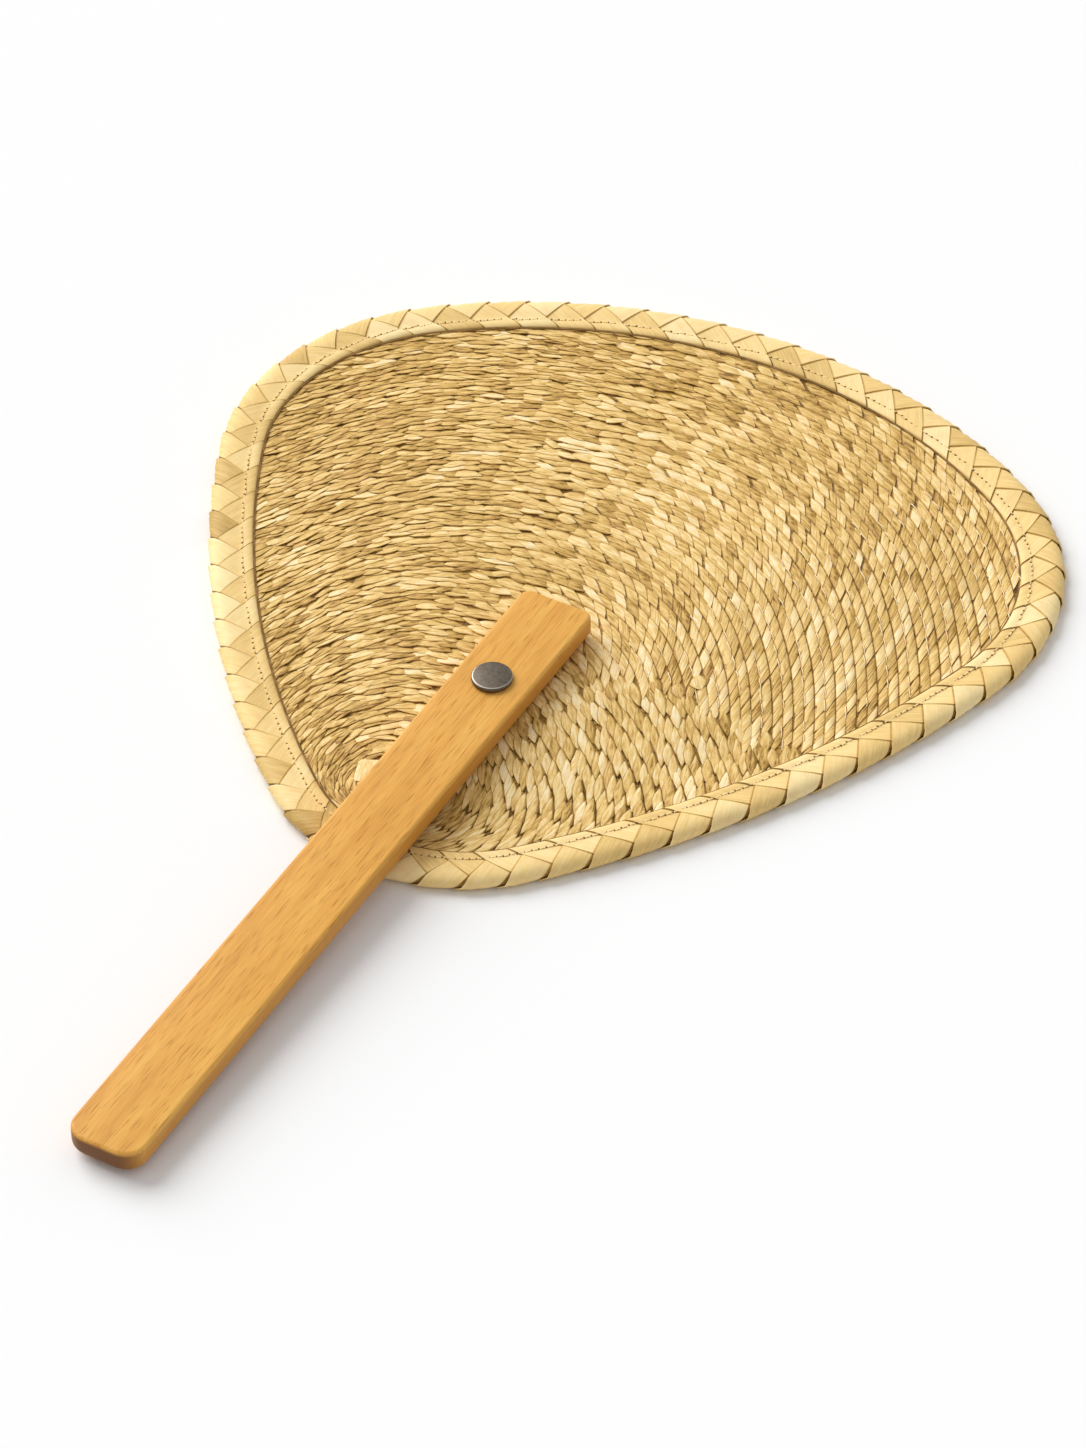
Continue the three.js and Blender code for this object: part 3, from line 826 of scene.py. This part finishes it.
def binding_shade_core():
    """The edge's dark core below the strips, painted shade between them and painted shadow beside them: a
    closed ring that follows the binding's section.
    """
    rounds = 330
    reach = binding_width + shadow_line_margin + run_beyond
    front = np.linspace(-reach, reach, 23)
    along = np.linspace(0, edge_length, rounds, endpoint=False)
    from_core = bearing_of(edge_place(along, np.zeros(rounds)) - core)
    shown = around(from_core, 1, 0.9, 0.7, 0)[:, None]  # its inner edge shows as a dark line, the binding's painted shadow on the plait, but not below
    run = front - np.where(front > reach - 0.1 * mm, 0.5 * mm * (1 - shown), 0)
    # raised at its inner edge so that the painted shadow line shows above the plait
    lift = np.where(run > reach - 1.8 * mm, -0.62 * mm, -0.85 * mm)
    skin = binding_points(np.tile(along[:, None], (1, len(front))), run, lift)
    at_margin = np.abs(run) > reach - 0.5 * mm
    skin[..., 2] -= np.where(at_margin, np.sign(run) * 0.2 * mm, 0)
    size = len(front)
    here = (np.arange(rounds) * size)[:, None]
    after = ((np.arange(rounds) + 1) % rounds * size)[:, None]
    step = np.arange(size)[None]
    following = (step + 1) % size
    faces = np.stack([here + step, after + step, after + following, here + following], axis=-1)
    return plain(skin.reshape(-1, 3), faces.reshape(-1, 4), 0.05)


binding_finish = palm_finish(
    "binding palm",
    [(0.0, (0.16, 0.078, 0.015)), (0.25, (0.46, 0.27, 0.065)), (0.5, (0.70, 0.475, 0.16)),
     (0.75, (0.90, 0.64, 0.255)), (1.0, (0.96, 0.765, 0.395))],
    stain=(0.58, 0.38, 0.13), stain_share=0.3, fibres=1.0, contrast=0.32, roughness=0.5,
)
binding_parts = [binding_shade_core(), outer_strips(), inner_strips(), border_sewing()]
binding = new_piece("chevron_binding", *joined(binding_parts))
binding.data.materials.append(binding_finish)
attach(binding, "leaf")
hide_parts("border_binding")

# Handle. A flat hardwood lath with eased edges lies on the front of the leaf, rounder at the hand's end,
# and slopes up from there over the binding. It is oiled, and its pores show as short dark dashes.
# The rivet alone holds it.

bar_width = 24 * mm
bar_thickness = 8 * mm
upper_edge = 1.2 * mm
lower_edge = 2.9 * mm
hand_corner = 6.8 * mm
leaf_corner = 3.1 * mm
hand_end = Vector((rivet_place[0], rivet_place[1] - rivet_along * math.cos(bar_slope), grip_lift))
bar_place = Matrix.Translation(hand_end) @ Matrix.Rotation(bar_slope, 4, "X")


def bevel_edges(bar, chosen, radius, steps):
    """Rounds the edges of the bar whose two corners pass the test."""
    bpy.ops.object.mode_set(mode="EDIT")
    bpy.ops.mesh.select_mode(type="EDGE")
    bpy.ops.mesh.select_all(action="DESELECT")
    bpy.ops.object.mode_set(mode="OBJECT")
    corners = bar.data.vertices
    for edge in bar.data.edges:
        edge.select = chosen(*(corners[v].co for v in edge.vertices))
    bpy.ops.object.mode_set(mode="EDIT")
    bpy.ops.mesh.bevel(offset=radius, segments=steps, affect="EDGES")
    bpy.ops.object.mode_set(mode="OBJECT")


def upright_at(y):
    """Test for the two upright edges at an end of the bar."""
    return lambda a, b: max(abs(a.y - y), abs(b.y - y)) < mm and abs(a.z - b.z) > bar_thickness / 2


def round_face_at(z):
    """Test for all the edges round a broad face of the bar."""
    return lambda a, b: max(abs(a.z - z), abs(b.z - z)) < 0.1 * mm


def make_bar():
    bpy.ops.object.select_all(action="DESELECT")
    bpy.ops.mesh.primitive_cube_add(size=1, location=(0, bar_length / 2, bar_thickness / 2))
    bar = bpy.context.object
    bar.scale = (bar_width, bar_length, bar_thickness)
    bpy.ops.object.transform_apply(location=True, rotation=True, scale=True)
    bevel_edges(bar, upright_at(0), hand_corner, 10)
    bevel_edges(bar, upright_at(bar_length), leaf_corner, 6)
    bevel_edges(bar, round_face_at(0), lower_edge, 5)
    bevel_edges(bar, round_face_at(bar_thickness), upper_edge, 5)
    bar.data.transform(bar_place)
    bpy.ops.object.shade_smooth_by_angle(angle=50 * degree)
    return bar


def wood_finish():
    """Oiled hardwood: figure, fine fibres and short dark pores along the bar, and painted shade on its sides
    and the hand's end.
    """
    material, tree, shader = new_finish("oiled wood")
    place = add_node(tree, "ShaderNodeTexCoord").outputs["Object"]
    unsloped = {"Vector": place, "Rotation": (-bar_slope, 0, 0)}
    level = add_node(tree, "ShaderNodeMapping", unsloped).outputs[0]

    def along_grain(across, along, detail):
        stretch = {0: level, 1: (across, along, across)}
        stretched = add_node(tree, "ShaderNodeVectorMath", stretch, operation="MULTIPLY").outputs[0]
        return noise(tree, stretched, 1.0, detail)

    figure = along_grain(190, 14, 3.0)
    fibre = along_grain(2200, 70, 3.0)
    pore = along_grain(2500, 120, 1.0)
    golden = [(0.3, (0.68, 0.315, 0.054)), (0.5, (0.78, 0.39, 0.074)), (0.7, (0.84, 0.455, 0.098))]
    fine = {0: toned(tree, figure, golden), "Scale": ranged(tree, fibre, 0.3, 0.7, 0.88, 1.08)}
    fibred = add_node(tree, "ShaderNodeVectorMath", fine, operation="SCALE").outputs[0]
    dash = ranged(tree, pore, 0.6, 0.7, 0.0, 0.6)
    pored = tinted(tree, dash, fibred, (0.42, 0.15, 0.012))

    end_y = hand_end.y * math.cos(bar_slope) + grip_lift * math.sin(bar_slope)
    face_z = grip_lift * math.cos(bar_slope) - hand_end.y * math.sin(bar_slope) + bar_thickness
    split = add_node(tree, "ShaderNodeSeparateXYZ", {0: level})
    # painted shade: the sides darker below the top face, and the hand's end darker still
    near_end = ranged(tree, split.outputs["Y"], end_y, end_y + 5 * mm, 0.95, 0.0)
    below = ranged(tree, split.outputs["Z"], face_z - 1.6 * mm, face_z - 0.5 * mm, 1.0, 0.0)
    side_shaded = tinted(tree, times(tree, below, 0.5), pored, (0.46, 0.165, 0.02))
    end_shaded = tinted(tree, times(tree, near_end, below), side_shaded, (0.15, 0.055, 0.014))
    relief = {"Height": dash, "Strength": 0.1, "Distance": 0.1 * mm}
    bump = add_node(tree, "ShaderNodeBump", relief, invert=True).outputs[0]
    tree.links.new(end_shaded, shader.inputs["Base Color"])
    tree.links.new(bump, shader.inputs["Normal"])
    shader.inputs["Roughness"].default_value = 0.48
    shader.inputs["Specular IOR Level"].default_value = 0.25
    return material


bar = make_bar()
bar.name = "handle_lath"
bar.data.materials.append(wood_finish())
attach(bar, "handle")
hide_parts("handle_bar")

# Rivet. A dark turned cap sits on the front of the handle, pressed on to a post that comes up from the back,
# where a washer spreads its pull over the plait. All three are blackened steel.

cap_diameter = 12.5 * mm
cap_thickness = 1.5 * mm
cap_rim = 0.55 * mm  # rounding of its edge


def gunmetal_finish():
    """Blackened steel, faintly mottled, with a painted highlight along the rim of the cap."""
    material, tree, shader = new_finish("blackened steel")
    place = add_node(tree, "ShaderNodeTexCoord").outputs["Object"]
    mottle = noise(tree, place, 900.0, 4.0)
    colour = toned(tree, mottle, [(0.3, (0.105, 0.085, 0.065)), (0.7, (0.16, 0.13, 0.10))])
    axis = {0: place, 1: (*rivet_place, 0)}
    from_axis = add_node(tree, "ShaderNodeVectorMath", axis, operation="SUBTRACT").outputs[0]
    level = {0: from_axis, 1: (1, 1, 0)}
    flat = add_node(tree, "ShaderNodeVectorMath", level, operation="MULTIPLY").outputs[0]
    radius = add_node(tree, "ShaderNodeVectorMath", {0: flat}, operation="LENGTH").outputs["Value"]
    to_rim = ranged(tree, radius, cap_diameter / 2 - 1 * mm, cap_diameter / 2, 0.0, 1.0)
    # painted highlight: a bright band on the rounded rim of the cap
    rim_highlight = [(0.45, (0, 0, 0)), (0.6, (0.8, 0.8, 0.8)), (0.8, (0.6, 0.6, 0.6)), (0.95, (0, 0, 0))]
    highlighted_rim = tinted(tree, toned(tree, to_rim, rim_highlight), colour, (0.55, 0.48, 0.40))
    tree.links.new(highlighted_rim, shader.inputs["Base Color"])
    tree.links.new(ranged(tree, mottle, 0.0, 1.0, 0.3, 0.5), shader.inputs["Roughness"])
    shader.inputs["Metallic"].default_value = 0.85
    return material


steel = gunmetal_finish()
bpy.ops.object.select_all(action="DESELECT")
bpy.ops.mesh.primitive_cylinder_add(
    vertices=72, radius=cap_diameter / 2, depth=cap_thickness,
    location=(0, rivet_along, bar_thickness + clearance / 2 + cap_thickness / 2),
)
cap = bpy.context.object
cap.name = "rivet_cap"
bpy.ops.object.transform_apply(location=True, rotation=True, scale=True)
rim = cap.modifiers.new("rim", "BEVEL")
rim.width = cap_rim
rim.segments = 4
rim.limit_method = "ANGLE"
bpy.ops.object.modifier_apply(modifier="rim")
cap.data.transform(bar_place)
bpy.ops.object.shade_smooth_by_angle(angle=40 * degree)
cap.data.materials.append(steel)
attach(cap, "handle")
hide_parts("rivet_front_cap")
for node in ("rivet_post", "rivet_washer"):
    piece = frame["nodes"][node]
    piece.data.materials.clear()
    piece.data.materials.append(steel)

# Floor, light and camera. The fan lies on a white table, under one broad soft lamp from the upper left
# and an even white sky. The camera stands where the photograph was taken from.

bpy.ops.object.select_all(action="DESELECT")
bpy.ops.mesh.primitive_plane_add(size=12)
floor = bpy.context.object
floor.name = "table"
white, _, white_shader = new_finish("white table")
white_shader.inputs["Base Color"].default_value = (0.9, 0.9, 0.9, 1)
white_shader.inputs["Roughness"].default_value = 0.9
floor.data.materials.append(white)

world = bpy.data.worlds.new("studio")
bpy.context.scene.world = world
world.use_nodes = True
world.node_tree.nodes["Background"].inputs["Color"].default_value = (1, 1, 1, 1)
world.node_tree.nodes["Background"].inputs["Strength"].default_value = 0.55

aim = Vector((22.11, 13.5, 1.5)) * mm
lamp_data = bpy.data.lights.new("key", "SUN")
lamp_data.energy = 2.85
lamp_data.angle = 50 * degree
lamp = bpy.data.objects.new("key", lamp_data)
bpy.context.scene.collection.objects.link(lamp)
lamp.location = aim + Vector((-1.15, 0.34, 0.9))
lamp.rotation_mode = "QUATERNION"
lamp.rotation_quaternion = (aim - lamp.location).to_track_quat("-Z", "Y")

camera_data = bpy.data.cameras.new("camera")
camera_data.lens = 174.0
camera_data.sensor_width = 36
camera_data.clip_end = 20
camera = bpy.data.objects.new("camera", camera_data)
bpy.context.scene.collection.objects.link(camera)
elevation, azimuth, distance = 41.9 * degree, 30.04 * degree, 2.075
back = Vector((
    math.sin(azimuth) * math.cos(elevation), -math.cos(azimuth) * math.cos(elevation), math.sin(elevation)
))
camera.location = aim + distance * back
camera.rotation_mode = "QUATERNION"
camera.rotation_quaternion = (-back).to_track_quat("-Z", "Y")
bpy.context.scene.camera = camera
bpy.context.scene.view_settings.view_transform = "Standard"
